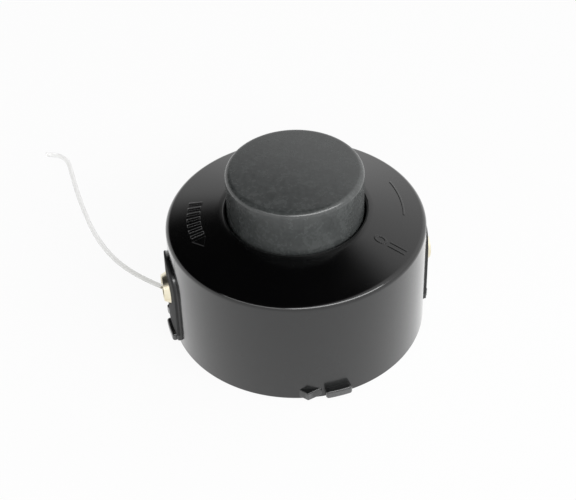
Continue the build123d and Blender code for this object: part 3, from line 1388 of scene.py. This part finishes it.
@dataclass
class Spring:
    """Coil spring round the cover's post."""

    radius: float = 12.6
    wire: float = 1.5
    turns: int = 3
    foot: float = 3.4
    stroke: float = 6.0
    wire_sides: int = 16
    steps_per_turn: int = 64

    def build(self, steel: bpy.types.Material) -> None:
        """Builds the spring.

        Args:
            steel: Its finish.
        """
        height = level("thrust_washer", 0) - self.foot
        rise = height - self.wire
        steps = self.turns * self.steps_per_turn
        form = Form()
        middle = Matrix.Translation((self.radius, 0, self.foot + self.wire / 2))
        stand = middle @ Matrix.Rotation(math.pi / 2, 4, "X")
        bmesh.ops.create_circle(form.bm, segments=self.wire_sides, radius=self.wire / 2, matrix=stand)
        bmesh.ops.spin(
            form.bm,
            geom=form.bm.verts[:] + form.bm.edges[:],
            cent=(0, 0, 0),
            axis=(0, 0, 1),
            dvec=(0, 0, rise / steps),
            angle=2 * math.pi * self.turns,
            steps=steps,
        )
        piece = form.capped().piece("coil_spring", steel, even=False)
        seat(piece, Body.HOUSING, Slot.STEEL, "compression_spring")
        keep = 1 - self.stroke / height
        self.foot * MM
        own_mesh(piece)


@dataclass
class FreeLine:
    """Free end of the nylon line, from the winding through the left eyelet to its cut tip."""

    diameter: float = 1.5
    height: float = 16.5
    length: float = 121.5
    route: tuple[Point2, ...] = (
        (-12.260, -23.155),
        (-29.458, -14.408),
        (-53.058, -0.408),
        (-64.958, 16.192),
        (-72.358, 36.492),
        (-76.458, 50.692),
        (-78.458, 58.192),
        (-80.858, 61.492),
        (-84.058, 63.192),
        (-87.058, 63.292),
    )
    roundness: int = 5
    smoothness: int = 16

    def build(self, nylon: bpy.types.Material) -> None:
        """Lays the line as one smooth curve along its route.

        Args:
            nylon: Its finish.
        """
        curve = bpy.data.curves.new("free_line", "CURVE")
        curve.dimensions = "3D"
        curve.bevel_depth = self.diameter / 2 * MM
        curve.bevel_resolution = self.roundness
        curve.use_fill_caps = True
        spline = curve.splines.new("NURBS")
        spline.points.add(len(self.route) - 1)
        for point, (x, y) in zip(spline.points, self.route):
            point.co = (x * MM, y * MM, self.height * MM, 1)
        spline.order_u = 3
        spline.use_endpoint_u = True
        spline.resolution_u = self.smoothness
        curve.materials.append(nylon)
        line = bpy.data.objects.new("free_line", curve)
        bpy.context.collection.objects.link(line)
        seat(line, Body.HOUSING, Slot.LINE, "cutting_line")


@dataclass
class InnerPart:
    """A part that the closed cup hides: the CAD form, joined and smoothed."""

    node: str
    body: Body
    slot: Slot

    def build(self, finish: bpy.types.Material) -> None:
        """Builds the part.

        Args:
            finish: Its finish.
        """
        piece = Form.copied(self.node).piece(f"{self.node}_smooth", finish)
        seat(piece, self.body, self.slot, self.node)


@dataclass(frozen=True)
class Lamp:
    """A soft lamp, in metres and watts. One that isn't mirrored doesn't show in glossy surfaces."""

    name: str
    place: Point3
    size: Point2
    power: float
    mirrored: bool = True

    def build(self, aim: Point3) -> None:
        """Adds the lamp.

        Args:
            aim: The point that it faces.
        """
        light = bpy.data.lights.new(self.name, "AREA")
        light.shape = "RECTANGLE"
        light.size, light.size_y = self.size
        light.energy = self.power
        lamp = bpy.data.objects.new(self.name, light)
        lamp.location = self.place
        lamp.visible_glossy = self.mirrored
        way = Vector(aim) - Vector(self.place)
        lamp.rotation_euler = way.to_track_quat("-Z", "Y").to_euler()
        bpy.context.collection.objects.link(lamp)


@dataclass
class Studio:
    """White table, soft light and the camera."""

    eye: Point3 = (-2.66, -306.13, 297.01)
    pitch: float = 41.698
    roll: float = -1.754
    focal: float = 1309.0
    image_width: float = 576.0
    sensor: float = 36.0
    near_clip: float = 0.01
    table_albedo: float = 0.92
    table_glow: float = 0.93
    table_half: float = 3000.0
    table_gap: float = 0.05
    room_light: float = 0.86
    room_dark: float = 0.008
    right_light: float = 0.45
    right_lift: float = 0.52
    dim_limits: Point2 = (0.56, 0.76)
    backdrop_limits: Point2 = (0.15, 0.3)
    lamp_aim: Point3 = (0, 0, 0.02)
    lamps: tuple[Lamp, ...] = (
        Lamp("soft_box", place=(0.70, -0.70, 0.30), size=(1.3, 0.6), power=2.5, mirrored=False),
        Lamp("strip", place=(0.45, -0.72, 0.60), size=(1.4, 0.2), power=7.5),
        Lamp("fill", place=(-0.6, -0.85, 0.50), size=(1.0, 0.15), power=1.8),
    )

    def build(self) -> None:
        """Sets up table, room, lamps and camera."""
        self._table()
        self._room()
        for lamp in self.lamps:
            lamp.build(self.lamp_aim)
        self._camera()
        bpy.context.scene.view_settings.view_transform = "Standard"

    @staticmethod
    def _seen(graph: Graph) -> Value:
        """Tells the rays that show the background itself, in a mirror or through the clear line too.

        Args:
            graph: Node tree that asks.

        Returns:
            1 for such a ray, else 0.
        """
        kinds = ("Is Camera Ray", "Is Glossy Ray", "Is Transmission Ray")
        camera, glossy, through = (graph.node("ShaderNodeLightPath", output=kind) for kind in kinds)
        return camera.at_least(glossy).at_least(through)

    def _table(self) -> None:
        """Makes the white table top, which keeps a soft shadow."""
        paper = bpy.data.materials.new("white_table")
        graph = Graph(paper)
        grey = (self.table_albedo, self.table_albedo, self.table_albedo, 1)
        matte = graph.node("ShaderNodeBsdfDiffuse", {}, {"Color": grey})
        glow = graph.node("ShaderNodeEmission", {}, {"Color": (1, 1, 1, 1), "Strength": 1.0})
        share = self._seen(graph) * self.table_glow
        mixed = graph.node("ShaderNodeMixShader", {}, {0: share, 1: matte, 2: glow})
        graph.node("ShaderNodeOutputMaterial", {}, {"Surface": mixed})
        form = Form()
        bmesh.ops.create_grid(form.bm, x_segments=1, y_segments=1, size=self.table_half)
        form.moved(Matrix.Translation((0, 0, -self.table_gap)))
        form.piece("table", paper, even=False)

    def _room(self) -> None:
        """Makes the room: bright low down, higher up on the right, and dark overhead.

        Near the horizon it is plain white to the rays that show the background.
        """
        world = bpy.data.worlds.new("studio")
        bpy.context.scene.world = world
        graph = Graph(world)
        direction = graph.node("ShaderNodeTexCoord", output="Generated")
        up = graph.node("ShaderNodeSeparateXYZ", {}, {"Vector": direction}, output="Z")
        right = graph.node("ShaderNodeSeparateXYZ", {}, {"Vector": direction}, output="X")
        low = 1.0 - (up - right * self.right_lift).between(*self.dim_limits)
        room = low * (self.room_light + right * self.right_light) + self.room_dark
        backdrop = self._seen(graph) * (1.0 - up.between(*self.backdrop_limits))
        strength = backdrop + (1.0 - backdrop) * room
        sky = graph.node("ShaderNodeBackground", {}, {"Color": (1, 1, 1, 1), "Strength": strength})
        graph.node("ShaderNodeOutputWorld", {}, {"Surface": sky})

    def _camera(self) -> None:
        """Places the camera at the photograph's viewpoint."""
        data = bpy.data.cameras.new("camera")
        data.sensor_width = self.sensor
        data.lens = self.focal / self.image_width * self.sensor
        data.clip_start = self.near_clip
        camera = bpy.data.objects.new("camera", data)
        tilt = Matrix.Rotation(math.radians(90 - self.pitch), 4, "X")
        roll = Matrix.Rotation(math.radians(self.roll), 4, "Z")
        camera.matrix_world = Matrix.Translation(Vector(self.eye) * MM) @ tilt @ roll
        bpy.context.collection.objects.link(camera)
        bpy.context.scene.camera = camera


def main() -> None:
    """Builds every piece in order."""
    logging.basicConfig(level=logging.INFO, format="%(message)s")
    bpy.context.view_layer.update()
    black = BlackMoulding().material("black_moulding")
    grained = SparkTexture().material("grained_moulding")
    plain = PlainMoulding().material("plain_moulding")
    nylon = DrawnNylon().material("drawn_nylon")
    brass = BRASS.material("pressed_brass")
    steel = ZINC.material("zinc_steel")
    Cup().build(black, brass)
    BottomCover().build(black)
    Knob().build(grained)
    Spring().build(steel)
    FreeLine().build(nylon)
    InnerPart("spool", Body.REEL, Slot.REEL).build(plain)
    InnerPart("line_winding", Body.REEL, Slot.LINE).build(nylon)
    InnerPart("thrust_washer", Body.WASHER, Slot.STEEL).build(steel)
    Studio().build()


if __name__ == "__main__":
    main()
